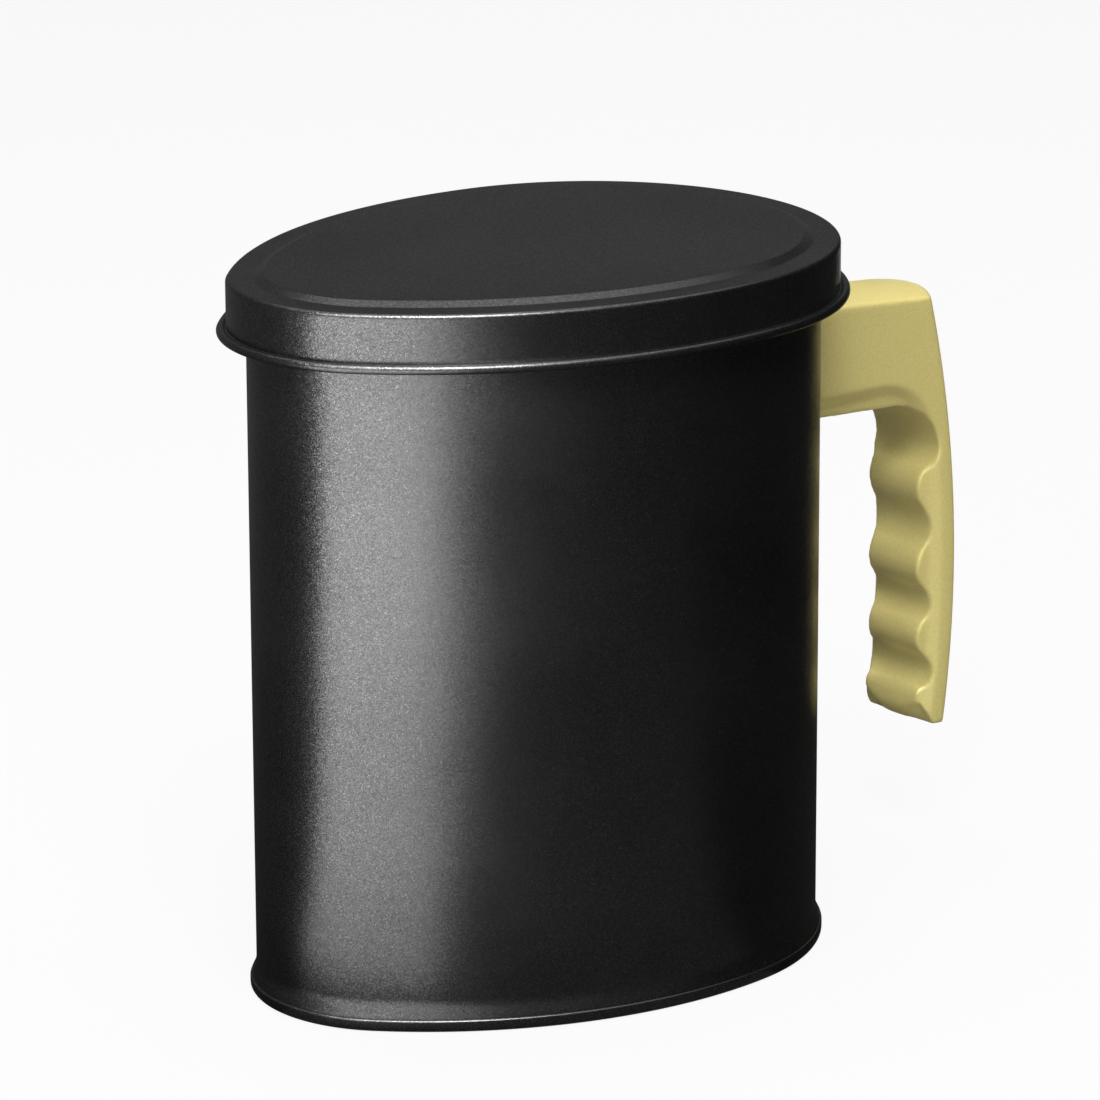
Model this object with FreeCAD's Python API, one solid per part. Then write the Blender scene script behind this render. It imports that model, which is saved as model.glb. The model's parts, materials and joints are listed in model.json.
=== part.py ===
import FreeCAD, Part
import math
import os

# Bacon grease tin with a slip lid, a lift-out strainer and a finger-grooved handle.
# Millimetres, +Z up. The handle points to +X and the narrow pouring end to -X.
# The pieces are drawn about the middle of the tin's plan and moved once along X at the end,
# so that the origin is the middle of the whole footprint, on the plane that the tin stands on.

# Egg-shaped plan of the tin wall: a tip arc, two long side arcs and a back arc, all tangent.
TIP_RADIUS = 35.2
TIP_HALF_ANGLE = 43.6
SIDE_RADIUS = 113.6
BACK_HALF_ANGLE = 81.0

# Sheet metal.
SHEET = 0.5
LID_TOP = 186.3
PANEL_RISE = 1.3
PANEL_INSET = 2.9
STEP_WIDTH = 0.6
LID_OFFSET = 4.9
LID_BEAD_OFFSET = 7.4
LID_BEAD_Z = 172.9
LID_BEAD_RADIUS = 1.25
BEAD_CUT = 0.75
LID_CORNER = 1.0
RIM_TOP = 185.1
RIM_HEIGHT = 3.6
RIM_OFFSET = 3.9
RIM_CUT = 1.1

# Foot: the wall flares into the double seam that carries the base.
SEAM_OFFSET = 1.65
SEAM_HEIGHT = 3.3
FLARE_OFFSET = 1.05
FLARE_START = 7.0
CHUCK_OFFSET = -0.6
BASE_PANEL_Z = 4.1
BASE_CORE = -6.0

# Strainer that hangs in the mouth by its flange.
STRAINER_SHEET = 0.6
STRAINER_WALL = -1.2
STRAINER_FLANGE = 3.3
STRAINER_GAP = 0.05
STRAINER_FLOOR = 162.0
LEDGE_OFFSET = -8.0
SCREEN_OFFSET = -2.3
SCREEN_THICK = 0.5
RETAINER_THICK = 0.6
HOLE_PITCH = 10.0
HOLE_FLATS = 5.6
HOLE_MARGIN = 4.5
TAB_THICK = 0.8
TAB_WIDTH = 18.0
TAB_REACH = 11.0
TAB_X = -4.0

# Handle moulding: a bridge from the wall to a grip that hangs free. Its palm side is an arc in
# side view, about a centre far inside the tin, and is crowned across its width.
HANDLE_HALF_WIDTH = 13.0
BRIDGE_TOP = 159.6
BRIDGE_TOP_SLOPE = -0.075
BRIDGE_UNDERSIDE = 128.6
BRIDGE_UNDERSIDE_SLOPE = -0.05
CORNER_RADIUS = 15.0
BOW_RADIUS = 300.0
BOW_Z = 80.0
PALM_X = 141.9
CROWN = 5.0
GRIP_END_Z = 36.6
GRIP_END_SLOPE = -0.12
TOE_LENGTH = 2.8
# The flanks step in from a crease that runs under the bridge, round the corner and down the grip.
CREASE_INSET = 9.3
CREASE_Z = 134.2
CREASE_CORNER = 21.0
SHOULDER_DEPTH = 3.0
SHOULDER_STEP = 2.7
TONGUE_DEPTH = 16.0
TONGUE_HALF_WIDTH = 9.2
# Finger face from the bridge down: grooves and ridges in turn (x, z), starting with a groove.
FINGER_WAVE = [(131.2, 113.5), (126.2, 102.8), (130.1, 91.2), (126.3, 79.8),
               (130.3, 70.0), (126.5, 60.5), (130.3, 51.3), (126.2, 42.5)]

# Screws that hold the handle from inside the tin.
SCREW_Z = (150.0, 135.0)
SCREW_RADIUS = 2.5
SCREW_HOLE = 2.75
SCREW_LENGTH = 18.0
HEAD_RADIUS = 4.6
HEAD_HEIGHT = 2.8
WASHER_RADIUS = 5.2
WASHER_THICK = 1.0
INSERT_RADIUS = 3.6
INSERT_LENGTH = 14.0
INSERT_BORE = 2.55
SEAL_THICK = 0.8
PLATE_THICK = 1.2
PLATE_HALF_WIDTH = 11.0
PLATE_LOW = 127.0
PLATE_HIGH = 158.0

UP = FreeCAD.Vector(0, 0, 1)
ACROSS = FreeCAD.Vector(0, 1, 0)
ALONG = FreeCAD.Vector(1, 0, 0)
ORIGIN = FreeCAD.Vector(0, 0, 0)


def vec(x, y, z):
    return FreeCAD.Vector(x, y, z)


def plan_arcs():
    """The plan's tangent arcs, anticlockwise: (centre x, centre y, radius, start angle, sweep)."""
    tip = math.radians(TIP_HALF_ANGLE)
    back = math.radians(BACK_HALF_ANGLE)
    side_y = (SIDE_RADIUS - TIP_RADIUS) * math.sin(tip)
    back_radius = SIDE_RADIUS - side_y / math.sin(back)
    tip_to_side = (SIDE_RADIUS - TIP_RADIUS) * math.cos(tip)
    side_to_back = (SIDE_RADIUS - back_radius) * math.cos(back)
    length = TIP_RADIUS + tip_to_side + side_to_back + back_radius
    tip_x = TIP_RADIUS - length / 2
    side_x = tip_x + tip_to_side
    back_x = side_x + side_to_back
    side_sweep = 180 - TIP_HALF_ANGLE - BACK_HALF_ANGLE
    return [
        (back_x, 0, back_radius, -BACK_HALF_ANGLE, 2 * BACK_HALF_ANGLE),
        (side_x, -side_y, SIDE_RADIUS, BACK_HALF_ANGLE, side_sweep),
        (tip_x, 0, TIP_RADIUS, 180 - TIP_HALF_ANGLE, 2 * TIP_HALF_ANGLE),
        (side_x, side_y, SIDE_RADIUS, 180 + TIP_HALF_ANGLE, side_sweep),
    ]


def back_wall_x(offset, y=0.0):
    """X of the back wall at a distance y from the middle, for a curve parallel to the plan."""
    centre_x, _, radius, _, _ = plan_arcs()[0]
    return centre_x + math.sqrt((radius + offset) ** 2 - y ** 2)


def plan_plate(offset, low, high):
    """A plate with the plan's outline, moved outward by offset, between two heights."""
    edges = []
    for centre_x, centre_y, radius, start, sweep in plan_arcs():
        centre = vec(centre_x, centre_y, low)
        edges.append(Part.makeCircle(radius + offset, centre, UP, start, start + sweep))
    face = Part.Face(Part.Wire(edges))
    return face.extrude(vec(0, 0, high - low))


def section_wire(corners):
    """A closed wire in the XZ plane through corners (x, z, size of the cut across the corner)."""
    points = [vec(x, 0, z) for x, z, _ in corners]
    outline = []
    for i, (_, _, cut) in enumerate(corners):
        here = points[i]
        if cut == 0:
            outline.append(here)
            continue
        back = (points[i - 1] - here).normalize()
        forward = (points[(i + 1) % len(points)] - here).normalize()
        outline.append(here + back * cut)
        outline.append(here + forward * cut)
    return Part.makePolygon(outline + outline[:1])


def plan_ring(corners):
    """A ring round the tin with one section everywhere: corners are (offset, z, cut)."""
    pieces = []
    for centre_x, centre_y, radius, start, sweep in plan_arcs():
        section = section_wire([(radius + offset, z, cut) for offset, z, cut in corners])
        face = Part.Face(section)
        face.rotate(ORIGIN, UP, start)
        face.translate(vec(centre_x, centre_y, 0))
        pieces.append(face.revolve(vec(centre_x, centre_y, 0), UP, sweep))
    return one_solid(pieces[0].fuse(pieces[1:]))


def one_solid(shape):
    """The single solid of a shape, with seams between equal faces removed."""
    cleaned = shape.removeSplitter()
    solids = cleaned.Solids
    if len(solids) != 1:
        raise RuntimeError("expected one solid, found %d" % len(solids))
    return solids[0]


def x_cylinder(radius, start_x, length, z):
    return Part.makeCylinder(radius, length, vec(start_x, 0, z), ALONG)


def body_shell():
    """Wall with an outward rolled rim at the mouth and a flare into the foot seam."""
    bottom = 0.7
    flare_end = SEAM_HEIGHT + 0.3
    wall = plan_ring([
        (-SHEET, RIM_TOP, RIM_CUT),
        (-SHEET, FLARE_START + 0.2, 0),
        (FLARE_OFFSET - SHEET, flare_end, 0),
        (FLARE_OFFSET - SHEET, bottom, 0),
        (FLARE_OFFSET, bottom, 0),
        (FLARE_OFFSET, flare_end, 0),
        (0, FLARE_START, 0),
        (0, RIM_TOP - RIM_HEIGHT, 0),
        (RIM_OFFSET, RIM_TOP - RIM_HEIGHT, RIM_CUT),
        (RIM_OFFSET, RIM_TOP, RIM_CUT),
    ])
    for z in SCREW_Z:
        wall = wall.cut(x_cylinder(SCREW_HOLE, back_wall_x(0) - 5, 10, z))
    return one_solid(wall)


def base_plate():
    """Pressed base: recessed panel, chuck wall and the outer hook of the double seam."""
    inner = CHUCK_OFFSET - SHEET
    hook = FLARE_OFFSET + 0.03
    groove = SHEET + 0.1
    ring = plan_ring([
        (BASE_CORE, BASE_PANEL_Z, 0),
        (inner, BASE_PANEL_Z, 0),
        (inner, 0, 0.4),
        (SEAM_OFFSET, 0, 0.7),
        (SEAM_OFFSET, SEAM_HEIGHT, 0.4),
        (hook, SEAM_HEIGHT, 0),
        (hook, groove, 0),
        (CHUCK_OFFSET, groove, 0),
        (CHUCK_OFFSET, BASE_PANEL_Z + SHEET, 0),
        (BASE_CORE, BASE_PANEL_Z + SHEET, 0),
    ])
    panel = plan_plate(BASE_CORE, BASE_PANEL_Z, BASE_PANEL_Z + SHEET)
    return one_solid(ring.fuse(panel))


def base_seam_compound():
    """Sealing compound inside the double seam, between the wall and the chuck wall."""
    clearance = 0.05
    inner = CHUCK_OFFSET + clearance
    outer = FLARE_OFFSET - SHEET - clearance
    return plan_ring([(inner, 0.7, 0), (outer, 0.7, 0), (outer, 2.6, 0), (inner, 2.6, 0)])


def lid():
    """Drawn slip lid: raised top panel, skirt and an outward bead round its lower edge."""
    panel_top = LID_TOP + PANEL_RISE
    bead_low = LID_BEAD_Z - LID_BEAD_RADIUS
    bead_high = LID_BEAD_Z + LID_BEAD_RADIUS
    inside = LID_OFFSET - SHEET
    core = -PANEL_INSET - 2.0
    ring = plan_ring([
        (core, panel_top, 0),
        (-PANEL_INSET, panel_top, 0),
        (STEP_WIDTH - PANEL_INSET, LID_TOP, 0),
        (LID_OFFSET, LID_TOP, LID_CORNER),
        (LID_OFFSET, bead_high, 0),
        (LID_BEAD_OFFSET, bead_high, BEAD_CUT),
        (LID_BEAD_OFFSET, bead_low, BEAD_CUT),
        (inside, bead_low, BEAD_CUT),
        (inside, LID_TOP - SHEET, LID_CORNER - SHEET),
        (STEP_WIDTH - PANEL_INSET - 0.4, LID_TOP - SHEET, 0),
        (-PANEL_INSET - 0.4, panel_top - SHEET, 0),
        (core, panel_top - SHEET, 0),
    ])
    panel = plan_plate(core, panel_top - SHEET, panel_top)
    return one_solid(ring.fuse(panel))


def strainer_frame():
    """Drawn frame: flange over the rim, side wall and a floor ledge that carries the screen."""
    inner = STRAINER_WALL - STRAINER_SHEET
    underside = RIM_TOP + STRAINER_GAP
    top = underside + STRAINER_SHEET
    return plan_ring([
        (STRAINER_FLANGE, underside, 0),
        (STRAINER_FLANGE, top, 0),
        (inner, top, 0.7),
        (inner, STRAINER_FLOOR + STRAINER_SHEET, 0),
        (LEDGE_OFFSET, STRAINER_FLOOR + STRAINER_SHEET, 0),
        (LEDGE_OFFSET, STRAINER_FLOOR, 0),
        (STRAINER_WALL, STRAINER_FLOOR, 0.9),
        (STRAINER_WALL, underside, 0),
    ])


def screen_inside(x, y, margin):
    """Whether a point is inside the plan by at least margin."""
    tip_x = plan_arcs()[2][0]
    back_x = plan_arcs()[0][0]
    for centre_x, centre_y, radius, start, _ in plan_arcs():
        if start == -BACK_HALF_ANGLE and x < back_x:
            continue
        if centre_y == 0 and start > 0 and x > tip_x:
            continue
        if math.hypot(x - centre_x, y - centre_y) > radius - margin:
            return False
    return True


def strainer_screen():
    """Perforated floor: hexagonal holes on a staggered grid."""
    low = STRAINER_FLOOR + STRAINER_SHEET
    plate = plan_plate(SCREEN_OFFSET, low, low + SCREEN_THICK)
    corner = HOLE_FLATS / math.sqrt(3)
    row_pitch = HOLE_PITCH * math.sqrt(3) / 2
    rows = int(back_wall_x(0) / row_pitch)
    margin = -LEDGE_OFFSET + HOLE_MARGIN
    holes = []
    for row in range(-rows, rows + 1):
        y = row * row_pitch
        shift = (row % 2) * HOLE_PITCH / 2
        for column in range(-rows - 1, rows + 2):
            x = column * HOLE_PITCH + shift
            if not screen_inside(x, y, margin):
                continue
            points = []
            for k in range(7):
                angle = math.radians(60 * k + 30)
                points.append(vec(x + corner * math.cos(angle), y + corner * math.sin(angle), low - 1))
            face = Part.Face(Part.makePolygon(points))
            holes.append(face.extrude(vec(0, 0, SCREEN_THICK + 2)))
    return one_solid(plate.cut(Part.makeCompound(holes)))


def screen_retainer():
    """Flat ring that clamps the screen's edge to the frame's ledge."""
    low = STRAINER_FLOOR + STRAINER_SHEET + SCREEN_THICK
    high = low + RETAINER_THICK
    return plan_plate(SCREEN_OFFSET, low, high).cut(plan_plate(LEDGE_OFFSET, low - 1, high + 1))


def strainer_tabs():
    """Two folded finger tabs, one on each long side of the frame's wall."""
    outer = STRAINER_WALL - STRAINER_SHEET - 0.02
    inner = outer - TAB_THICK
    fold = 182.0
    strip = plan_ring([
        (outer, STRAINER_FLOOR + 6, 0),
        (outer, fold, 1.2),
        (-TAB_REACH, fold, 0.6),
        (-TAB_REACH, fold - 2.6, 0),
        (-TAB_REACH + TAB_THICK, fold - 2.6, 0),
        (-TAB_REACH + TAB_THICK, fold - TAB_THICK, 0),
        (inner, fold - TAB_THICK, 0.6),
        (inner, STRAINER_FLOOR + 6, 0),
    ])
    window = Part.makeBox(TAB_WIDTH, 200, 60, vec(TAB_X - TAB_WIDTH / 2, -100, STRAINER_FLOOR))
    return Part.makeCompound(strip.common(window).Solids)


def s_curve(low, high):
    """Two equal tangent arcs from one point to a higher one, upright at both ends."""
    across = high.x - low.x
    rise = high.z - low.z
    radius = (across ** 2 + rise ** 2) / (4 * abs(across))
    side = math.copysign(1, across)
    middle = (low + high) * 0.5
    half_angle = math.atan2(rise / 2, radius - abs(across) / 2) / 2
    dip = radius * (1 - math.cos(half_angle))
    reach = radius * math.sin(half_angle)
    first = vec(low.x + side * dip, 0, low.z + reach)
    second = vec(high.x - side * dip, 0, high.z - reach)
    return [Part.Arc(low, first, middle).toShape(), Part.Arc(middle, second, high).toShape()]


def handle_side():
    """Side view of the handle as a face in the XZ plane; its outer edge lies past the palm side."""
    wall_x = back_wall_x(0)
    start_x = wall_x - 12
    past_x = PALM_X + 10
    wave = [vec(x, 0, z) for x, z in FINGER_WAVE]
    groove = wave[0]
    ridge = wave[-1]

    def top(x):
        return vec(x, 0, BRIDGE_TOP + BRIDGE_TOP_SLOPE * (x - wall_x))

    def underside(x):
        return vec(x, 0, BRIDGE_UNDERSIDE + BRIDGE_UNDERSIDE_SLOPE * (x - wall_x))

    toe = vec(ridge.x + TOE_LENGTH, 0, GRIP_END_Z)
    heel = vec(past_x, 0, GRIP_END_Z + GRIP_END_SLOPE * (past_x - toe.x))
    toe_bend = vec(ridge.x + 0.25 * TOE_LENGTH, 0, ridge.z - 0.72 * (ridge.z - toe.z))
    edges = Part.makePolygon([underside(start_x), top(start_x), top(past_x), heel, toe]).Edges
    edges.append(Part.Arc(toe, toe_bend, ridge).toShape())
    for low, high in zip(reversed(wave[1:]), reversed(wave[:-1])):
        edges.extend(s_curve(low, high))
    corner_start = underside(groove.x - CORNER_RADIUS)
    corner_reach = 0.29 * CORNER_RADIUS
    corner_middle = vec(groove.x - corner_reach, 0, corner_start.z - 0.29 * (corner_start.z - groove.z))
    edges.append(Part.Arc(groove, corner_middle, corner_start).toShape())
    edges.append(Part.LineSegment(corner_start, underside(start_x)).toShape())
    return Part.Face(Part.Wire(edges))


def crowned_outside():
    """Solid of revolution whose crowned rim is the palm side of the handle."""
    half = HANDLE_HALF_WIDTH + 2
    crown_radius = (HANDLE_HALF_WIDTH ** 2 + CROWN ** 2) / (2 * CROWN)
    drop = crown_radius - math.sqrt(crown_radius ** 2 - half ** 2)
    inner_x = PALM_X - 90
    low = vec(PALM_X - drop, -half, BOW_Z)
    high = vec(PALM_X - drop, half, BOW_Z)
    inner = [high, vec(inner_x, half, BOW_Z), vec(inner_x, -half, BOW_Z), low]
    edges = Part.makePolygon(inner).Edges
    edges.append(Part.Arc(low, vec(PALM_X, 0, BOW_Z), high).toShape())
    face = Part.Face(Part.Wire(edges))
    spread = 22.0
    centre = vec(PALM_X - BOW_RADIUS, 0, BOW_Z)
    face.rotate(centre, ACROSS, -spread)
    return face.revolve(centre, ACROSS, 2 * spread)


def shoulder_cutters():
    """Solids that narrow the handle towards the fingers, below the bridge and along the grip."""
    bow_x = PALM_X - BOW_RADIUS
    crease_radius = BOW_RADIUS - CREASE_INSET
    corner_z = CREASE_Z - CREASE_CORNER
    to_corner = crease_radius - CREASE_CORNER
    tilt = math.degrees(math.asin((corner_z - BOW_Z) / to_corner))
    corner_x = bow_x + to_corner * math.cos(math.radians(tilt))
    outside = HANDLE_HALF_WIDTH + 3
    # First number: the way in from the crease. Second: the distance from the middle plane.
    section = [
        (0, HANDLE_HALF_WIDTH),
        (SHOULDER_DEPTH, HANDLE_HALF_WIDTH - SHOULDER_STEP),
        (TONGUE_DEPTH, TONGUE_HALF_WIDTH),
        (TONGUE_DEPTH, outside),
        (0, outside),
    ]
    corner_centre = vec(corner_x, 0, corner_z)
    bow_centre = vec(bow_x, 0, BOW_Z)
    cutters = []
    for side in (-1, 1):
        points = [vec(corner_x, side * y, CREASE_Z - inset) for inset, y in section]
        face = Part.Face(Part.makePolygon(points + points[:1]))
        cutters.append(face.extrude(vec(-60, 0, 0)))
        cutters.append(face.revolve(corner_centre, ACROSS, 90 - tilt))
        face.rotate(corner_centre, ACROSS, 90 - tilt)
        cutters.append(face.revolve(bow_centre, ACROSS, 24))
    return cutters


def handle():
    """Moulded handle: bridge, bowed palm side, shouldered flanks and finger grooves."""
    half = HANDLE_HALF_WIDTH
    side = handle_side()
    side.translate(vec(0, -half, 0))
    blank = side.extrude(vec(0, 2 * half, 0))
    blank = blank.common(crowned_outside())
    for cutter in shoulder_cutters():
        blank = blank.cut(cutter)
    blank = blank.cut(plan_plate(0.02, 0, 200))
    for z in SCREW_Z:
        blank = blank.cut(x_cylinder(INSERT_RADIUS, back_wall_x(0) - 5, INSERT_LENGTH + 5.5, z))
        blank = blank.cut(x_cylinder(SCREW_HOLE, back_wall_x(0), INSERT_LENGTH + 4, z))
    return one_solid(blank)


def handle_inserts():
    """Threaded brass bushes pressed into the handle, one for each screw."""
    bushes = []
    start = back_wall_x(0) + 0.4
    for z in SCREW_Z:
        outer = x_cylinder(INSERT_RADIUS - 0.02, start, INSERT_LENGTH, z)
        bushes.append(outer.cut(x_cylinder(INSERT_BORE, start - 1, INSERT_LENGTH + 2, z)))
    return Part.makeCompound(bushes)


def wall_pad(outer_offset, thick):
    """A pad that lies against the inside of the back wall, with holes for the screws."""
    ring = plan_ring([
        (outer_offset, PLATE_LOW, 0),
        (outer_offset, PLATE_HIGH, 0),
        (outer_offset - thick, PLATE_HIGH, 0),
        (outer_offset - thick, PLATE_LOW, 0),
    ])
    height = PLATE_HIGH - PLATE_LOW
    window = Part.makeBox(30, 2 * PLATE_HALF_WIDTH, height, vec(60, -PLATE_HALF_WIDTH, PLATE_LOW))
    corner_edges = [edge for edge in window.Edges if abs(edge.tangentAt(edge.FirstParameter).x) > 0.9]
    window = window.makeChamfer(3.0, corner_edges)
    pad = ring.common(window)
    for z in SCREW_Z:
        pad = pad.cut(x_cylinder(SCREW_HOLE, 60, 30, z))
    return one_solid(pad)


def handle_seal_pad():
    return wall_pad(-SHEET - 0.02, SEAL_THICK)


def handle_backing_plate():
    return wall_pad(-SHEET - SEAL_THICK - 0.04, PLATE_THICK)


def washer_face_x():
    """X of the flat plane where the washers bear on the curved backing plate."""
    return back_wall_x(-SHEET - SEAL_THICK - PLATE_THICK - 0.06, WASHER_RADIUS)


def handle_washers():
    washers = []
    start = washer_face_x() - WASHER_THICK
    for z in SCREW_Z:
        disc = x_cylinder(WASHER_RADIUS, start, WASHER_THICK, z)
        washers.append(disc.cut(x_cylinder(SCREW_HOLE, start - 1, WASHER_THICK + 2, z)))
    return Part.makeCompound(washers)


def handle_screws():
    """Slotted pan-head screws, driven from inside the tin."""
    screws = []
    seat = washer_face_x() - WASHER_THICK
    slot_width = 1.2
    slot_depth = 1.3
    for z in SCREW_Z:
        head = x_cylinder(HEAD_RADIUS, seat - HEAD_HEIGHT, HEAD_HEIGHT, z)
        face_edges = [edge for edge in head.Edges if edge.BoundBox.XMax < seat - HEAD_HEIGHT + 0.01]
        head = head.makeChamfer(0.9, face_edges)
        slot = Part.makeBox(slot_depth, 4 * HEAD_RADIUS, slot_width,
                            vec(seat - HEAD_HEIGHT, -2 * HEAD_RADIUS, z - slot_width / 2))
        shank = x_cylinder(SCREW_RADIUS, seat, SCREW_LENGTH, z)
        screws.append(one_solid(head.cut(slot).fuse(shank)))
    return Part.makeCompound(screws)


NODES = {
    "body_shell": body_shell,
    "base_plate": base_plate,
    "base_seam_compound": base_seam_compound,
    "lid": lid,
    "strainer_frame": strainer_frame,
    "strainer_screen": strainer_screen,
    "screen_retainer": screen_retainer,
    "strainer_tabs": strainer_tabs,
    "handle": handle,
    "handle_inserts": handle_inserts,
    "handle_seal_pad": handle_seal_pad,
    "handle_backing_plate": handle_backing_plate,
    "handle_washers": handle_washers,
    "handle_screws": handle_screws,
}


def footprint_middle_x():
    """Middle of the whole object along X, from the lid's bead at the tip to the palm side."""
    centre_x, _, radius, _, _ = plan_arcs()[2]
    return (centre_x - radius - LID_BEAD_OFFSET + PALM_X) / 2


os.makedirs("parts", exist_ok=True)
for name, make in NODES.items():
    shape = make()
    shape.translate(vec(-footprint_middle_x(), 0, 0))
    print(name, "valid", shape.isValid(), "solids", len(shape.Solids), "volume %.1f" % shape.Volume)
    shape.exportStep("parts/%s.step" % name)
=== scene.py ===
import bmesh
import bpy
import json
import math
from mathutils import Matrix, Quaternion, Vector


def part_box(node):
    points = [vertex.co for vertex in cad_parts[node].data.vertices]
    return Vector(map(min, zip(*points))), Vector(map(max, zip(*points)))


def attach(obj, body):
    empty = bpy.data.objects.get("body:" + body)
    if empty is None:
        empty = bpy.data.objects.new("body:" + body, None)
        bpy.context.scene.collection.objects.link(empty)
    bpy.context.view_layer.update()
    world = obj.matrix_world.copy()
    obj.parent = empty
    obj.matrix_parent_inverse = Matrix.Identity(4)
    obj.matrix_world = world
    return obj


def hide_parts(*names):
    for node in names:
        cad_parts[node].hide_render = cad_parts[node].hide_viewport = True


# Bacon grease tin: smooth sheet-metal skins, a soft-edged handle, finishes, studio and camera.
# Metres throughout, +Z up. The handle points to +X and the narrow pouring end to -X.

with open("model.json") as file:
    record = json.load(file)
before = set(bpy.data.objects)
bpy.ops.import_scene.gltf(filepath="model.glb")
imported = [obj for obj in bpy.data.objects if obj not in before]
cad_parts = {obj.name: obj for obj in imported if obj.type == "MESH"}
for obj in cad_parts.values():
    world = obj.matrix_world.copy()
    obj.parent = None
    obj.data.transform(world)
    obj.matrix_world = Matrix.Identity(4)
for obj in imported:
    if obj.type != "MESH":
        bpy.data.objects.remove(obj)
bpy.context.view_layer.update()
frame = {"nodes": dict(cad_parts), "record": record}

MM = 0.001

# Egg-shaped plan of the tin: a tip arc, two long side arcs and a back arc, all tangent.
TIP_RADIUS = 35.2 * MM
TIP_HALF_ANGLE = math.radians(43.6)
SIDE_RADIUS = 113.6 * MM
BACK_HALF_ANGLE = math.radians(81.0)
PLAN_STEP = math.radians(1.4)
LID_BEAD_OFFSET = 7.4 * MM


def plan_arcs():
    """Tangent arcs of the plan, anticlockwise: (centre, radius, start angle, sweep)."""
    side_y = (SIDE_RADIUS - TIP_RADIUS) * math.sin(TIP_HALF_ANGLE)
    back_radius = SIDE_RADIUS - side_y / math.sin(BACK_HALF_ANGLE)
    tip_to_side = (SIDE_RADIUS - TIP_RADIUS) * math.cos(TIP_HALF_ANGLE)
    side_to_back = (SIDE_RADIUS - back_radius) * math.cos(BACK_HALF_ANGLE)
    tip_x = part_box("lid")[0].x + LID_BEAD_OFFSET + TIP_RADIUS
    side_x = tip_x + tip_to_side
    back_x = side_x + side_to_back
    sweep = math.pi - TIP_HALF_ANGLE - BACK_HALF_ANGLE
    return [
        (Vector((back_x, 0)), back_radius, -BACK_HALF_ANGLE, 2 * BACK_HALF_ANGLE),
        (Vector((side_x, -side_y)), SIDE_RADIUS, BACK_HALF_ANGLE, sweep),
        (Vector((tip_x, 0)), TIP_RADIUS, math.pi - TIP_HALF_ANGLE, 2 * TIP_HALF_ANGLE),
        (Vector((side_x, side_y)), SIDE_RADIUS, math.pi + TIP_HALF_ANGLE, sweep),
    ]


def plan_rays():
    """Points round the plan, each with the outward direction there."""
    rays = []
    for centre, radius, start, sweep in ARCS:
        count = round(sweep / PLAN_STEP)
        if radius == SIDE_RADIUS:
            count *= 2
        for i in range(count):
            angle = start + sweep * i / count
            outward = Vector((math.cos(angle), math.sin(angle)))
            rays.append((centre + radius * outward, outward))
    return rays


ARCS = plan_arcs()
RAYS = plan_rays()
BACK_WALL_X = ARCS[0][0].x + ARCS[0][1]
TIP_WALL_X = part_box("lid")[0].x + LID_BEAD_OFFSET
PLAN_MIDDLE = Vector(((BACK_WALL_X + TIP_WALL_X) / 2, 0))


# Sections are swept round the plan. Their corners are (offset outward from the plan, height,
# rounding) in millimetres, and their points are in metres.
ROUNDING_STEPS = 7
LONG_RUN = 3.0 * MM
SUPPORT_GAP = 0.3 * MM
CLOSING_RINGS = (0.75, 0.45, 0.18)


def rounded(corners):
    """The points of a section from its corners, with an arc at each rounded one."""
    section = []
    for i, (offset, z, rounding) in enumerate(corners):
        here = Vector((offset, z))
        if rounding == 0:
            section.append(here * MM)
            continue
        before = (Vector(corners[i - 1][:2]) - here).normalized()
        after = (Vector(corners[(i + 1) % len(corners)][:2]) - here).normalized()
        half = before.angle(after) / 2
        reach = rounding / math.tan(half)
        centre = here + (before + after).normalized() * rounding / math.sin(half)
        first = here + before * reach - centre
        last = here + after * reach - centre
        turn = first.angle_signed(last)
        for k in range(ROUNDING_STEPS + 1):
            bend = Matrix.Rotation(-turn * k / ROUNDING_STEPS, 2)
            section.append((centre + bend @ first) * MM)
    return section


def arc_points(centre_offset, centre_z, radius, start, end, steps):
    """Points on an arc of a section, with angles in degrees."""
    centre = Vector((centre_offset, centre_z))
    points = []
    for i in range(steps + 1):
        angle = math.radians(start + (end - start) * i / steps)
        points.append((centre + radius * Vector((math.cos(angle), math.sin(angle)))) * MM)
    return points


def supported(section):
    """The section with extra points close to the ends of its long straight runs."""
    points = []
    for here, after in zip(section, section[1:]):
        points.append(here)
        run = after - here
        if run.length > LONG_RUN:
            along = run.normalized() * SUPPORT_GAP
            points.append(here + along)
            points.append(after - along)
    points.append(section[-1])
    return points


def swept(name, section, capped=False):
    """Mesh of a section swept round the plan; capped closes both its ends across the middle."""
    section = supported(section)
    vertices = []
    faces = []
    for point, outward in RAYS:
        for offset, z in section:
            place = point + outward * offset
            vertices.append((place.x, place.y, z))
    size = len(section)
    count = len(RAYS)
    last = size - 1 if capped else size
    for i in range(count):
        for j in range(last):
            here = i * size
            there = ((i + 1) % count) * size
            k = (j + 1) % size
            faces.append((here + j, here + k, there + k, there + j))
    if capped:
        for column in (0, size - 1):
            ring = [i * size + column for i in range(count)]
            close_across(vertices, faces, ring)
    mesh = bpy.data.meshes.new(name)
    mesh.from_pydata(vertices, [], faces)
    return mesh


def close_across(vertices, faces, ring):
    """Fills the space inside a ring of vertices with rings that shrink to the middle."""
    count = len(ring)
    edge = [Vector(vertices[i]) for i in ring]
    middle = Vector((PLAN_MIDDLE.x, 0, edge[0].z))
    for shrink in CLOSING_RINGS:
        inner = []
        for corner in edge:
            inner.append(len(vertices))
            vertices.append(tuple(middle.lerp(corner, shrink)))
        for i in range(count):
            k = (i + 1) % count
            faces.append((ring[i], ring[k], inner[k], inner[i]))
        ring = inner
    hub = len(vertices)
    vertices.append(tuple(middle))
    for i in range(count):
        faces.append((ring[i], ring[(i + 1) % count], hub))


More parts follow.
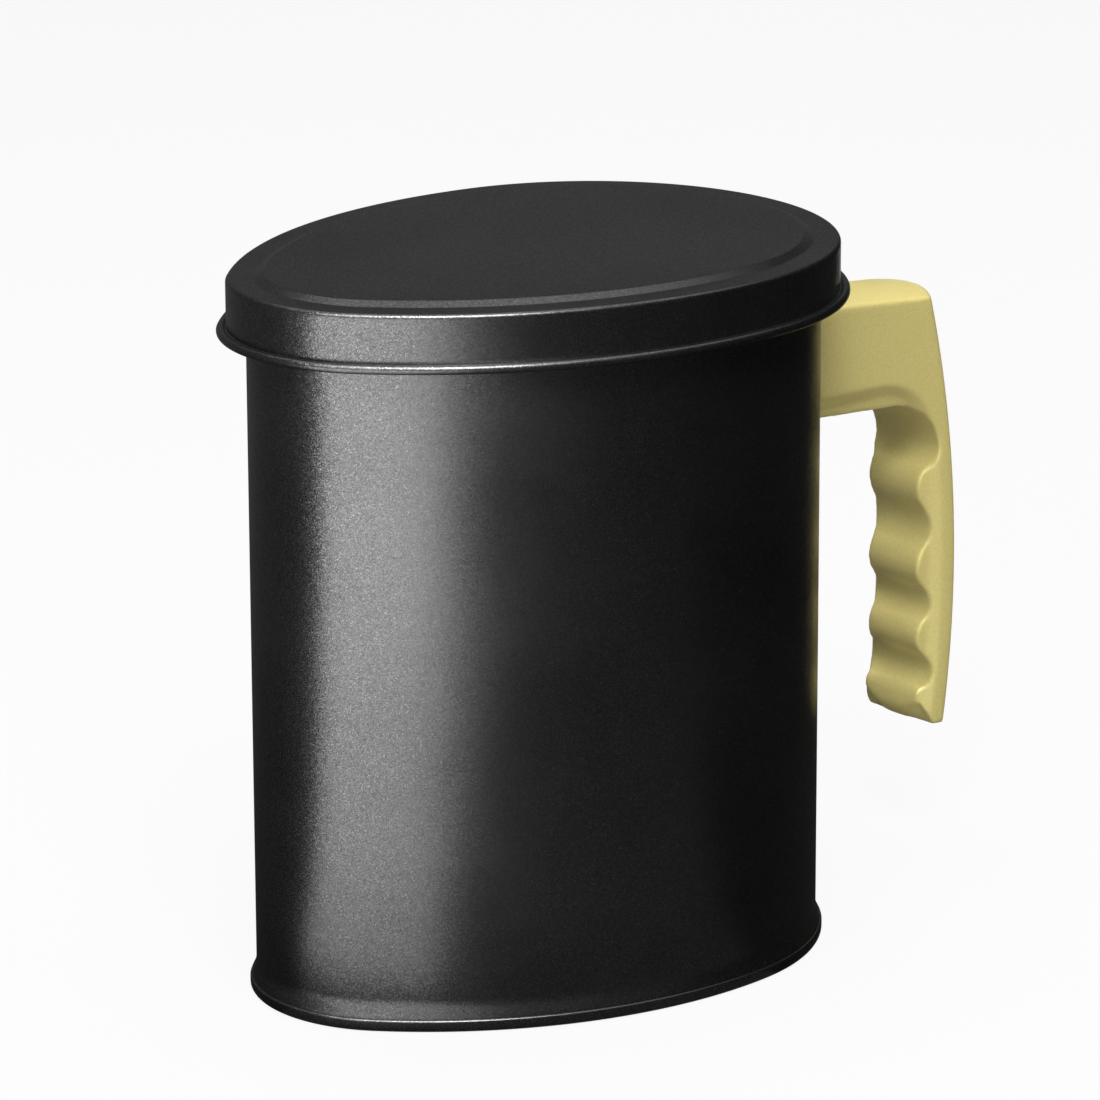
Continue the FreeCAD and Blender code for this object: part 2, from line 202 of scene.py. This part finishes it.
# Node materials. Texture scales are counts per metre of object space.
NOISE_LOW = 0.3
NOISE_HIGH = 0.7
CELL_MIDDLE = (0.5, 0.5, 0.5)
LACQUER_IOR = 1.5


def map_range(tree, value, low, high, to_low, to_high):
    """A value moved from the range low to high into the range to_low to to_high."""
    node = tree.nodes.new("ShaderNodeMapRange")
    names = ("From Min", "From Max", "To Min", "To Max")
    for name, number in zip(names, (low, high, to_low, to_high)):
        node.inputs[name].default_value = number
    tree.links.new(value, node.inputs["Value"])
    return node.outputs["Result"]


class Nodes:
    """A material's node tree with short ways to add and join nodes."""

    def __init__(self, name):
        self.material = bpy.data.materials.new(name)
        self.material.use_nodes = True
        self.tree = self.material.node_tree
        self.shader = self.tree.nodes["Principled BSDF"]
        self.place = self.tree.nodes.new("ShaderNodeTexCoord").outputs["Object"]

    def set(self, **values):
        for name, value in values.items():
            self.shader.inputs[name.replace("_", " ")].default_value = value

    def wire(self, colour, roughness, normal):
        """Joins the three outputs to the shader and returns the material."""
        self.link(colour, self.shader.inputs["Base Color"])
        self.link(roughness, self.shader.inputs["Roughness"])
        self.link(normal, self.shader.inputs["Normal"])
        return self.material

    def link(self, output, socket):
        self.tree.links.new(output, socket)

    def noise(self, scale, detail, stretch=(1, 1, 1)):
        mapping = self.tree.nodes.new("ShaderNodeMapping")
        mapping.inputs["Scale"].default_value = stretch
        self.link(self.place, mapping.inputs["Vector"])
        node = self.tree.nodes.new("ShaderNodeTexNoise")
        node.inputs["Scale"].default_value = scale
        node.inputs["Detail"].default_value = detail
        self.link(mapping.outputs["Vector"], node.inputs["Vector"])
        return node.outputs["Fac"]

    def cells(self, scale):
        """A random colour in each small cell."""
        node = self.tree.nodes.new("ShaderNodeTexVoronoi")
        node.inputs["Scale"].default_value = scale
        self.link(self.place, node.inputs["Vector"])
        return node.outputs["Color"]

    def channel(self, colour):
        node = self.tree.nodes.new("ShaderNodeSeparateColor")
        self.link(colour, node.inputs["Color"])
        return node.outputs["Red"]

    def map(self, value, low, high, to_low, to_high):
        return map_range(self.tree, value, low, high, to_low, to_high)

    def spread(self, noise, to_low, to_high):
        """Noise, which stays mostly near its middle, stretched over a range."""
        return self.map(noise, NOISE_LOW, NOISE_HIGH, to_low, to_high)

    def maths(self, operation, first, second):
        node = self.tree.nodes.new("ShaderNodeMath")
        node.operation = operation
        self.link(first, node.inputs[0])
        self.link(second, node.inputs[1])
        return node.outputs["Value"]

    def vector_maths(self, operation, first):
        node = self.tree.nodes.new("ShaderNodeVectorMath")
        node.operation = operation
        self.link(first, node.inputs[0])
        return node

    def blend(self, factor, first, second):
        """A mix of two colours, which are constants or outputs of other nodes."""
        node = self.tree.nodes.new("ShaderNodeMix")
        node.data_type = "RGBA"
        self.link(factor, node.inputs["Factor"])
        for name, colour in (("A", first), ("B", second)):
            target = [s for s in node.inputs if s.name == name and s.type == "RGBA"][0]
            if isinstance(colour, tuple):
                target.default_value = (*colour, 1)
            else:
                self.link(colour, target)
        return [s for s in node.outputs if s.type == "RGBA"][0]

    def bump(self, height, strength, distance, normal=None):
        node = self.tree.nodes.new("ShaderNodeBump")
        node.inputs["Strength"].default_value = strength
        node.inputs["Distance"].default_value = distance
        self.link(height, node.inputs["Height"])
        if normal is not None:
            self.link(normal, node.inputs["Normal"])
        return node.outputs["Normal"]

    def tilted(self, cells, amount):
        """The surface normal with a small random tilt in each cell, like flakes in paint."""
        geometry = self.tree.nodes.new("ShaderNodeNewGeometry")
        centred = self.vector_maths("SUBTRACT", cells)
        centred.inputs[1].default_value = CELL_MIDDLE
        scaled = self.vector_maths("SCALE", centred.outputs["Vector"])
        scaled.inputs["Scale"].default_value = amount
        added = self.vector_maths("ADD", geometry.outputs["Normal"])
        self.link(scaled.outputs["Vector"], added.inputs[1])
        return self.vector_maths("NORMALIZE", added.outputs["Vector"]).outputs["Vector"]


def black_paint():
    """Charcoal satin paint with fine metallic flake, a few bright flakes and faint orange peel."""
    nodes = Nodes("black_paint")
    nodes.set(Metallic=1.0, IOR=LACQUER_IOR)
    flakes = nodes.cells(scale=4200)
    chance = nodes.channel(flakes)
    bright_flakes = nodes.map(chance, 0.93, 1.0, 0.0, 1.0)
    cloud = nodes.noise(scale=24, detail=3)
    shade = nodes.maths("ADD", nodes.map(chance, 0.0, 1.0, 0.0, 0.75), nodes.spread(cloud, 0.0, 0.25))
    ground = nodes.blend(shade, (0.060, 0.060, 0.061), (0.175, 0.175, 0.177))
    colour = nodes.blend(bright_flakes, ground, (0.25, 0.25, 0.253))
    grain = nodes.noise(scale=900, detail=2)
    roughness = nodes.map(nodes.maths("ADD", grain, cloud), 0.6, 1.4, 0.28, 0.34)
    facets = nodes.tilted(flakes, amount=0.12)
    peel = nodes.bump(nodes.noise(scale=700, detail=1), strength=0.12, distance=0.08 * MM, normal=facets)
    return nodes.wire(colour, roughness, peel)


def gold_moulding():
    """Champagne-gold satin lacquer with a fine sparkle grain and an uneven sheen."""
    nodes = Nodes("gold_moulding")
    nodes.set(Metallic=0.2, IOR=LACQUER_IOR, Coat_Weight=0.5, Coat_Roughness=0.3)
    speck = nodes.channel(nodes.cells(scale=3600))
    cloud = nodes.noise(scale=30, detail=3)
    ground = nodes.blend(cloud, (0.515, 0.435, 0.140), (0.575, 0.490, 0.175))
    fine = nodes.blend(speck, (0.43, 0.36, 0.11), (0.63, 0.545, 0.23))
    colour = nodes.blend(nodes.map(speck, 0.0, 1.0, 0.35, 0.45), ground, fine)
    roughness = nodes.spread(nodes.noise(scale=260, detail=3), 0.38, 0.5)
    grain = nodes.bump(nodes.noise(scale=1800, detail=2), strength=0.16, distance=0.1 * MM)
    return nodes.wire(colour, roughness, grain)


def metal(name, light, dark, rough, stretch, marks, lift):
    """Bare metal with drawn lines (marks is their scale, lift their height) and uneven tone."""
    nodes = Nodes(name)
    nodes.set(Metallic=1.0)
    lines = nodes.noise(marks, detail=4, stretch=stretch)
    cloud = nodes.noise(scale=22, detail=3)
    colour = nodes.blend(nodes.maths("MULTIPLY", lines, nodes.spread(cloud, 0.6, 1.3)), dark, light)
    roughness = nodes.spread(lines, rough - 0.06, rough + 0.08)
    return nodes.wire(colour, roughness, nodes.bump(lines, lift, distance=0.05 * MM))


def stainless():
    light = (0.64, 0.64, 0.65)
    dark = (0.50, 0.50, 0.51)
    return metal("stainless", light, dark, rough=0.3, stretch=(1, 1, 20), marks=90, lift=0.04)


def zinc_steel():
    light = (0.62, 0.64, 0.66)
    dark = (0.40, 0.42, 0.44)
    return metal("zinc_steel", light, dark, rough=0.34, stretch=(1, 1, 1), marks=420, lift=0.2)


def brass():
    light = (0.82, 0.64, 0.30)
    dark = (0.60, 0.43, 0.17)
    return metal("brass", light, dark, rough=0.3, stretch=(30, 1, 1), marks=300, lift=0.25)


def seal_rubber():
    """Matte black sealing rubber with dust in its pores."""
    nodes = Nodes("seal_rubber")
    pores = nodes.noise(scale=900, detail=3)
    colour = nodes.blend(pores, (0.022, 0.022, 0.022), (0.06, 0.058, 0.055))
    roughness = nodes.spread(pores, 0.62, 0.82)
    return nodes.wire(colour, roughness, nodes.bump(pores, strength=0.3, distance=0.1 * MM))


MATERIALS = {
    "black_paint": black_paint(),
    "gold_moulding": gold_moulding(),
    "stainless": stainless(),
    "zinc_steel": zinc_steel(),
    "brass": brass(),
    "seal_rubber": seal_rubber(),
}

for part in frame["record"]["subparts"]:
    carried = frame["nodes"][part["node"]]
    carried.data.materials.clear()
    carried.data.materials.append(MATERIALS[part["material_slot"]])


# Pieces that replace CAD nodes.
MERGE_DISTANCE = 0.001 * MM
SHARP_EDGE = math.radians(40)
NO_SHARP_EDGE = math.pi


def add_piece(mesh, body, slot, replaced, sharp=SHARP_EDGE):
    """Makes a mesh a piece of the object, named like the mesh, in place of one CAD node."""
    bm = bmesh.new()
    bm.from_mesh(mesh)
    bmesh.ops.remove_doubles(bm, verts=bm.verts, dist=MERGE_DISTANCE)
    bmesh.ops.recalc_face_normals(bm, faces=bm.faces)
    bm.to_mesh(mesh)
    bm.free()
    mesh.shade_smooth()
    mesh.set_sharp_from_angle(angle=sharp)
    mesh.materials.clear()
    mesh.materials.append(MATERIALS[slot])
    piece = bpy.data.objects.new(mesh.name, mesh)
    bpy.context.scene.collection.objects.link(piece)
    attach(piece, body)
    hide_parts(replaced)


# The named sizes of the sections below are in millimetres.
SHEET = 0.5
BOX_GAP = 0.01

# Lid: pressed panel, step, gutter, rounded top edge, plain skirt and rolled bead.
LID_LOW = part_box("lid")[0].z / MM
LID_PANEL_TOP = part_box("lid")[1].z / MM - BOX_GAP
LID_PANEL_EDGE = -7.5
LID_STEP_HEIGHT = 1.3
LID_STEP_INSIDE = -4.6
LID_STEP_OUTSIDE = -2.0
LID_STEP_ROUNDING = 1.6
LID_EDGE_ROUNDING = 1.1
LID_OFFSET = 4.9
LID_BEAD_RADIUS = 1.25
LID_BEAD_START = 138
LID_BEAD_END = -158
LID_BEAD_STEPS = 22


def lid_section():
    """Open chain from the panel's top, over the skirt and bead, to the panel's underside."""
    top = LID_PANEL_TOP - LID_STEP_HEIGHT
    bead_x = LID_BEAD_OFFSET / MM - LID_BEAD_RADIUS - BOX_GAP
    bead_z = LID_LOW + LID_BEAD_RADIUS
    upper = rounded([
        (LID_PANEL_EDGE, LID_PANEL_TOP, 0),
        (LID_STEP_INSIDE, LID_PANEL_TOP, LID_STEP_ROUNDING),
        (LID_STEP_OUTSIDE, top, LID_STEP_ROUNDING),
        (LID_OFFSET, top, LID_EDGE_ROUNDING),
        (LID_OFFSET, bead_z + 4, 0),
        (LID_OFFSET, bead_z + 1, 0),
    ])
    roll = arc_points(bead_x, bead_z, LID_BEAD_RADIUS, LID_BEAD_START, LID_BEAD_END, LID_BEAD_STEPS)
    lower = rounded([
        (LID_OFFSET - SHEET, bead_z + 0.6, 0),
        (LID_OFFSET - SHEET, top - SHEET, LID_EDGE_ROUNDING - SHEET),
        (LID_STEP_OUTSIDE - 0.2, top - SHEET, 1.2),
        (LID_STEP_INSIDE - 0.2, LID_PANEL_TOP - SHEET, 1.2),
        (LID_PANEL_EDGE, LID_PANEL_TOP - SHEET, 0),
    ])
    return upper + roll + lower


add_piece(swept("lid_skin", lid_section(), capped=True), "lid", "black_paint", "lid")


# Tin wall with its rolled rim, and the base with the double seam.
RIM_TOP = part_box("body_shell")[1].z / MM
RIM_OFFSET = 3.9
RIM_RADIUS = 1.8
RIM_FLAT = 0.02
FLARE_OUT = 1.05
FLARE_LOW = 3.5
FLARE_LOW_ROUNDING = 3.0
FLARE_HIGH = 7.2
FLARE_HIGH_ROUNDING = 9.0
WALL_FOOT = 0.7
SEAM_OUTSIDE = 1.65
SEAM_INSIDE = 1.08
SEAM_TOP = 3.4
SEAM_SHEET = 0.6
CHUCK_WALL = -0.6
BASE_PANEL_EDGE = -8.0
BASE_PANEL_TOP = 4.6


def wall_section():
    """Closed chain: outer foot, flare, rolled rim and back down inside."""
    return rounded([
        (FLARE_OUT - SHEET, WALL_FOOT, 0),
        (FLARE_OUT, WALL_FOOT, 0),
        (FLARE_OUT, FLARE_LOW, FLARE_LOW_ROUNDING),
        (0, FLARE_HIGH, FLARE_HIGH_ROUNDING),
        (0, RIM_TOP - 2 * RIM_RADIUS, 0.3),
        (RIM_OFFSET, RIM_TOP - 2 * RIM_RADIUS, RIM_RADIUS - RIM_FLAT),
        (RIM_OFFSET, RIM_TOP, RIM_RADIUS - RIM_FLAT),
        (-SHEET, RIM_TOP, RIM_RADIUS),
        (-SHEET, FLARE_HIGH, FLARE_HIGH_ROUNDING),
        (FLARE_OUT - SHEET, FLARE_LOW, FLARE_LOW_ROUNDING),
        (FLARE_OUT - SHEET, WALL_FOOT + 0.2, 0),
    ])


def base_section():
    """Open chain: panel top, chuck wall, seam roll, underside and panel underside."""
    return rounded([
        (BASE_PANEL_EDGE, BASE_PANEL_TOP, 0),
        (CHUCK_WALL, BASE_PANEL_TOP, 0.8),
        (CHUCK_WALL, SEAM_SHEET, 0.1),
        (SEAM_INSIDE, SEAM_SHEET, 0.1),
        (SEAM_INSIDE, SEAM_TOP, 0),
        (SEAM_OUTSIDE, SEAM_TOP, 0.55),
        (SEAM_OUTSIDE, 0, 1.5),
        (CHUCK_WALL - SHEET, 0, 0.5),
        (CHUCK_WALL - SHEET, BASE_PANEL_TOP - SHEET, 0.4),
        (BASE_PANEL_EDGE, BASE_PANEL_TOP - SHEET, 0),
    ])


add_piece(swept("tin_wall", wall_section()), "tin", "black_paint", "body_shell")
add_piece(swept("pressed_base", base_section(), capped=True), "tin", "black_paint", "base_plate")


# Strainer frame with a rolled shoulder and a rounded floor corner.
STRAINER_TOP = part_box("strainer_frame")[1].z / MM
STRAINER_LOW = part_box("strainer_frame")[0].z / MM
STRAINER_SHEET = 0.6
STRAINER_WALL = -1.2
FLANGE_EDGE = 3.3
LEDGE_EDGE = -8.0


def strainer_section():
    """Closed chain round the drawn frame's sheet."""
    inside = STRAINER_WALL - STRAINER_SHEET
    return rounded([
        (FLANGE_EDGE, STRAINER_TOP - STRAINER_SHEET, 0.2),
        (FLANGE_EDGE, STRAINER_TOP, 0.2),
        (inside, STRAINER_TOP, 1.0),
        (inside, STRAINER_LOW + STRAINER_SHEET, 0.5),
        (LEDGE_EDGE, STRAINER_LOW + STRAINER_SHEET, 0.1),
        (LEDGE_EDGE, STRAINER_LOW, 0.1),
        (STRAINER_WALL, STRAINER_LOW, 1.1),
        (STRAINER_WALL, STRAINER_TOP - STRAINER_SHEET, 0.4),
    ])


add_piece(swept("strainer_pan", strainer_section()), "strainer", "stainless", "strainer_frame")


# Handle: the moulding's edges are rounded as a mould leaves them, away from the tin's wall.
HANDLE_VOXEL = 0.6 * MM
HANDLE_PASSES = 4
WALL_CLEAR = 1.6 * MM
HANDLE_HALF_WIDTH = 13.0 * MM
HANDLE_BACK_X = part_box("handle")[1].x
CROWN_START = 142 * MM
CROWN_FULL = 157 * MM
CROWN_MIDDLE = 1.4 * MM
CROWN_DROP = 0.3 * MM
END_START = 47 * MM
END_FULL = 37 * MM
END_RISE = 4.5 * MM
END_HALF_WIDTH = 10.0 * MM
END_INSET = 11.5 * MM
END_BLEND = 3.0 * MM


def even_handle():
    """The moulding's CAD mesh, remade with small even faces."""
    blank = bpy.data.objects.new("handle_blank", frame["nodes"]["handle"].data.copy())
    bpy.context.scene.collection.objects.link(blank)
    remesh = blank.modifiers.new("remesh", "REMESH")
    remesh.mode = "VOXEL"
    remesh.voxel_size = HANDLE_VOXEL
    graph = bpy.context.evaluated_depsgraph_get()
    mesh = bpy.data.meshes.new_from_object(blank.evaluated_get(graph))
    bpy.data.objects.remove(blank)
    mesh.name = "handle_moulding"
    return mesh


def soften(mesh):
    """Softens the moulding's edges and creases, crowns its bridge and rounds its lower end."""
    bm = bmesh.new()
    bm.from_mesh(mesh)
    free = [v for v in bm.verts if away_from_wall(v.co) > WALL_CLEAR]
    axes = {"use_axis_x": True, "use_axis_y": True, "use_axis_z": True}
    for _ in range(HANDLE_PASSES):
        bmesh.ops.smooth_vert(bm, verts=free, factor=0.5, **axes)
    for v in bm.verts:
        v.co.z += bridge_crown(v.co) + end_lift(v.co)
    bm.to_mesh(mesh)
    bm.free()


def share_of(value, start, full):
    """How far a value has come from start (0) to full (1)."""
    return min(1.0, max(0.0, (value - start) / (full - start)))


def bridge_crown(place):
    """Lift of the bridge's top face, which is crowned across its width."""
    share = share_of(place.z, CROWN_START, CROWN_FULL)
    across = place.y / HANDLE_HALF_WIDTH
    return share * share * (CROWN_MIDDLE - (CROWN_MIDDLE + CROWN_DROP) * across * across)


def end_lift(place):
    """Lift of the grip's lower end, which is rounded off towards both flanks."""
    share = share_of(place.z, END_START, END_FULL)
    inset = HANDLE_BACK_X - place.x
    inside = share_of(inset, END_INSET, END_INSET + END_BLEND)
    across = min(1.0, abs(place.y) / END_HALF_WIDTH)
    return share * inside * END_RISE * across ** 3


def away_from_wall(place):
    """Distance of a point from the back of the tin's wall."""
    centre, radius, _, _ = ARCS[0]
    return (Vector((place.x, place.y)) - centre).length - radius


handle_mesh = even_handle()
soften(handle_mesh)
add_piece(handle_mesh, "tin", "gold_moulding", "handle", sharp=NO_SHARP_EDGE)


# Studio. The tin stands on a pale floor in front of a white background.
FLOOR_HALF = 9.0
FLOOR_WHITE = 0.4
GLOW_SHARE = 0.9
WORLD_LEVEL = 0.26
KEY_AZIMUTH = math.radians(206)
KEY_DISTANCE = 1.3
KEY_SIZE = 1.25
KEY_RADIANCE = 4.5
TOP_PLACE = (0.15, 0.2, 1.4)
TOP_AIM = (0, 0, 0)
TOP_SIZE = 1.6
TOP_RADIANCE = 3.4
SIDE_PLACE = (-0.46, -0.74, 1.2)
SIDE_AIM = (0.09, 0, 0.1)
SIDE_SIZE = 0.5
SIDE_RADIANCE = 22.0

# Profiles of the cards as (radius, height) points. A lit card lies over a dark one and is nearer.
DARK_LIFT = 0.3 * MM
DARK_START = 0.02
DARK_RADIUS = 1.35
DARK_TOP = 1.7
NEAR_RADIUS = 0.24
LIT_LIFT = 0.6 * MM
LIT_START = 0.094
LIT_RADIUS = 1.25
LOW_TOP = 0.45
HIGH_START = (1.25, 0.78)
HIGH_END = (0.6, 1.6)
DARK_CARD = [(DARK_START, DARK_LIFT), (DARK_RADIUS, DARK_LIFT), (DARK_RADIUS, DARK_TOP)]
NEAR_CARD = [(DARK_START, DARK_LIFT), (NEAR_RADIUS, DARK_LIFT)]
BACK_CARD = [(DARK_RADIUS, DARK_LIFT), (DARK_RADIUS, DARK_TOP)]
LIT_CARD = [(LIT_START, LIT_LIFT), (LIT_RADIUS, LIT_LIFT)]
LOW_CARD = [(LIT_RADIUS, LIT_LIFT), (LIT_RADIUS, LOW_TOP)]
HIGH_CARD = [HIGH_START, HIGH_END]
ROUND_TIN = PLAN_MIDDLE
ROUND_LIT = PLAN_MIDDLE + Vector((-0.026, 0.019))
CARD_STEP = 6

# Cards seen only in reflections: middle, first and last azimuth in degrees, profile, and
# brightness near to the object and far from it.
GLOW_NEAR = 0.10
GLOW_FAR = 0.62
CARDS = [
    (ROUND_TIN, 55, 180, DARK_CARD, 0.020, 0.105),
    (ROUND_TIN, 180, 300, DARK_CARD, 0.070, 0.055),
    (ROUND_TIN, 300, 390, DARK_CARD, 0.022, 0.022),
    (ROUND_TIN, 390, 415, NEAR_CARD, 0.060, 0.060),
    (ROUND_TIN, 390, 415, BACK_CARD, 0.110, 0.110),
    (ROUND_LIT, 180, 236, LIT_CARD, 1.05, 3.8),
    (ROUND_LIT, 180, 236, LOW_CARD, 1.4, 1.4),
    (ROUND_LIT, 180, 248, HIGH_CARD, 6.0, 6.0),
]


def seen_rays(tree):
    """A factor of 1 for camera, glossy and transmission rays."""
    path = tree.nodes.new("ShaderNodeLightPath")
    total = path.outputs["Is Camera Ray"]
    for name in ("Is Glossy Ray", "Is Transmission Ray"):
        node = tree.nodes.new("ShaderNodeMath")
        node.operation = "MAXIMUM"
        tree.links.new(total, node.inputs[0])
        tree.links.new(path.outputs[name], node.inputs[1])
        total = node.outputs["Value"]
    return total


def stage_mesh(name, vertices, faces, material):
    mesh = bpy.data.meshes.new(name)
    mesh.from_pydata(vertices, [], faces)
    mesh.materials.append(material)
    piece = bpy.data.objects.new(name, mesh)
    bpy.context.scene.collection.objects.link(piece)
    return piece


def empty_material(name):
    """A material with only an output node, and its node tree."""
    material = bpy.data.materials.new(name)
    material.use_nodes = True
    tree = material.node_tree
    tree.nodes.clear()
    return material, tree, tree.nodes.new("ShaderNodeOutputMaterial")


def floor_material():
    """Pale matte floor that glows white to the camera and in reflections."""
    material, tree, output = empty_material("pale_floor")
    diffuse = tree.nodes.new("ShaderNodeBsdfDiffuse")
    diffuse.inputs["Color"].default_value = (FLOOR_WHITE, FLOOR_WHITE, FLOOR_WHITE, 1)
    glow = tree.nodes.new("ShaderNodeEmission")
    mix = tree.nodes.new("ShaderNodeMixShader")
    share = map_range(tree, seen_rays(tree), 0, 1, 0, GLOW_SHARE)
    tree.links.new(share, mix.inputs["Fac"])
    tree.links.new(diffuse.outputs["BSDF"], mix.inputs[1])
    tree.links.new(glow.outputs["Emission"], mix.inputs[2])
    tree.links.new(mix.outputs["Shader"], output.inputs["Surface"])
    return material


def card_material(near, far):
    """Emission that changes from near to far with the distance from the object's middle."""
    material, tree, output = empty_material("card")
    glow = tree.nodes.new("ShaderNodeEmission")
    glow.inputs["Color"].default_value = (1, 1, 1, 1)
    place = tree.nodes.new("ShaderNodeTexCoord")
    length = tree.nodes.new("ShaderNodeVectorMath")
    length.operation = "LENGTH"
    tree.links.new(place.outputs["Object"], length.inputs[0])
    level = map_range(tree, length.outputs["Value"], GLOW_NEAR, GLOW_FAR, near, far)
    tree.links.new(level, glow.inputs["Strength"])
    tree.links.new(glow.outputs["Emission"], output.inputs["Surface"])
    return material


def reflections_only(piece):
    piece.visible_camera = False
    piece.visible_diffuse = False
    piece.visible_shadow = False
    piece.visible_transmission = False
    piece.visible_volume_scatter = False


def add_card(index, middle, first, last, profile, near, far):
    """A studio card: its profile turned round the tin from the first azimuth to the last."""
    steps = (last - first) // CARD_STEP
    vertices = []
    faces = []
    for i in range(steps + 1):
        angle = math.radians(first + (last - first) * i / steps)
        for radius, z in profile:
            x = middle.x + radius * math.cos(angle)
            y = middle.y + radius * math.sin(angle)
            vertices.append((x, y, z))
    size = len(profile)
    for i in range(steps):
        for j in range(size - 1):
            here = i * size + j
            there = here + size
            faces.append((here, here + 1, there + 1, there))
    card = stage_mesh("card_%d" % index, vertices, faces, card_material(near, far))
    reflections_only(card)


def add_lamp(name, place, aim, size, radiance, in_reflections):
    lamp = bpy.data.lights.new(name, "AREA")
    lamp.shape = "RECTANGLE"
    lamp.size = size
    lamp.size_y = size
    lamp.energy = radiance * math.pi * size * size
    holder = bpy.data.objects.new(name, lamp)
    bpy.context.scene.collection.objects.link(holder)
    holder.location = place
    holder.visible_camera = False
    holder.visible_glossy = in_reflections
    holder.rotation_euler = (Vector(aim) - Vector(place)).to_track_quat("-Z", "Y").to_euler()


def set_world():
    """White to the camera and in reflections, and dimmer as a light."""
    world = bpy.data.worlds.new("studio")
    bpy.context.scene.world = world
    world.use_nodes = True
    tree = world.node_tree
    background = tree.nodes["Background"]
    background.inputs["Color"].default_value = (1, 1, 1, 1)
    level = map_range(tree, seen_rays(tree), 0, 1, WORLD_LEVEL, 1)
    tree.links.new(level, background.inputs["Strength"])


def set_studio():
    half = FLOOR_HALF
    corners = [(-half, -half, 0), (half, -half, 0), (half, half, 0), (-half, half, 0)]
    stage_mesh("floor", corners, [(0, 1, 2, 3)], floor_material())
    for index, card in enumerate(CARDS):
        add_card(index, *card)
    key_x = PLAN_MIDDLE.x + KEY_DISTANCE * math.cos(KEY_AZIMUTH)
    key_y = KEY_DISTANCE * math.sin(KEY_AZIMUTH)
    key_aim = (PLAN_MIDDLE.x, 0, KEY_SIZE / 2)
    add_lamp("key", (key_x, key_y, KEY_SIZE / 2), key_aim, KEY_SIZE, KEY_RADIANCE, False)
    add_lamp("top", TOP_PLACE, TOP_AIM, TOP_SIZE, TOP_RADIANCE, False)
    add_lamp("side", SIDE_PLACE, SIDE_AIM, SIDE_SIZE, SIDE_RADIANCE, True)
    set_world()


# Camera at the photograph's angle.
CAMERA_PLACE = Vector((-0.97756, -1.17548, 0.54892))
CAMERA_AIM = Vector((-0.02058, -0.00065, 0.10587))
CAMERA_ROLL = math.radians(-0.182)
CAMERA_LENS = 201.5
CAMERA_SENSOR = 36.0


def set_camera():
    data = bpy.data.cameras.new("camera")
    data.lens = CAMERA_LENS
    data.sensor_width = CAMERA_SENSOR
    camera = bpy.data.objects.new("camera", data)
    bpy.context.scene.collection.objects.link(camera)
    camera.location = CAMERA_PLACE
    look = (CAMERA_AIM - CAMERA_PLACE).to_track_quat("-Z", "Y")
    camera.rotation_mode = "QUATERNION"
    camera.rotation_quaternion = look @ Quaternion((0, 0, 1), CAMERA_ROLL)
    bpy.context.scene.camera = camera


set_studio()
set_camera()
bpy.context.scene.view_settings.view_transform = "Standard"
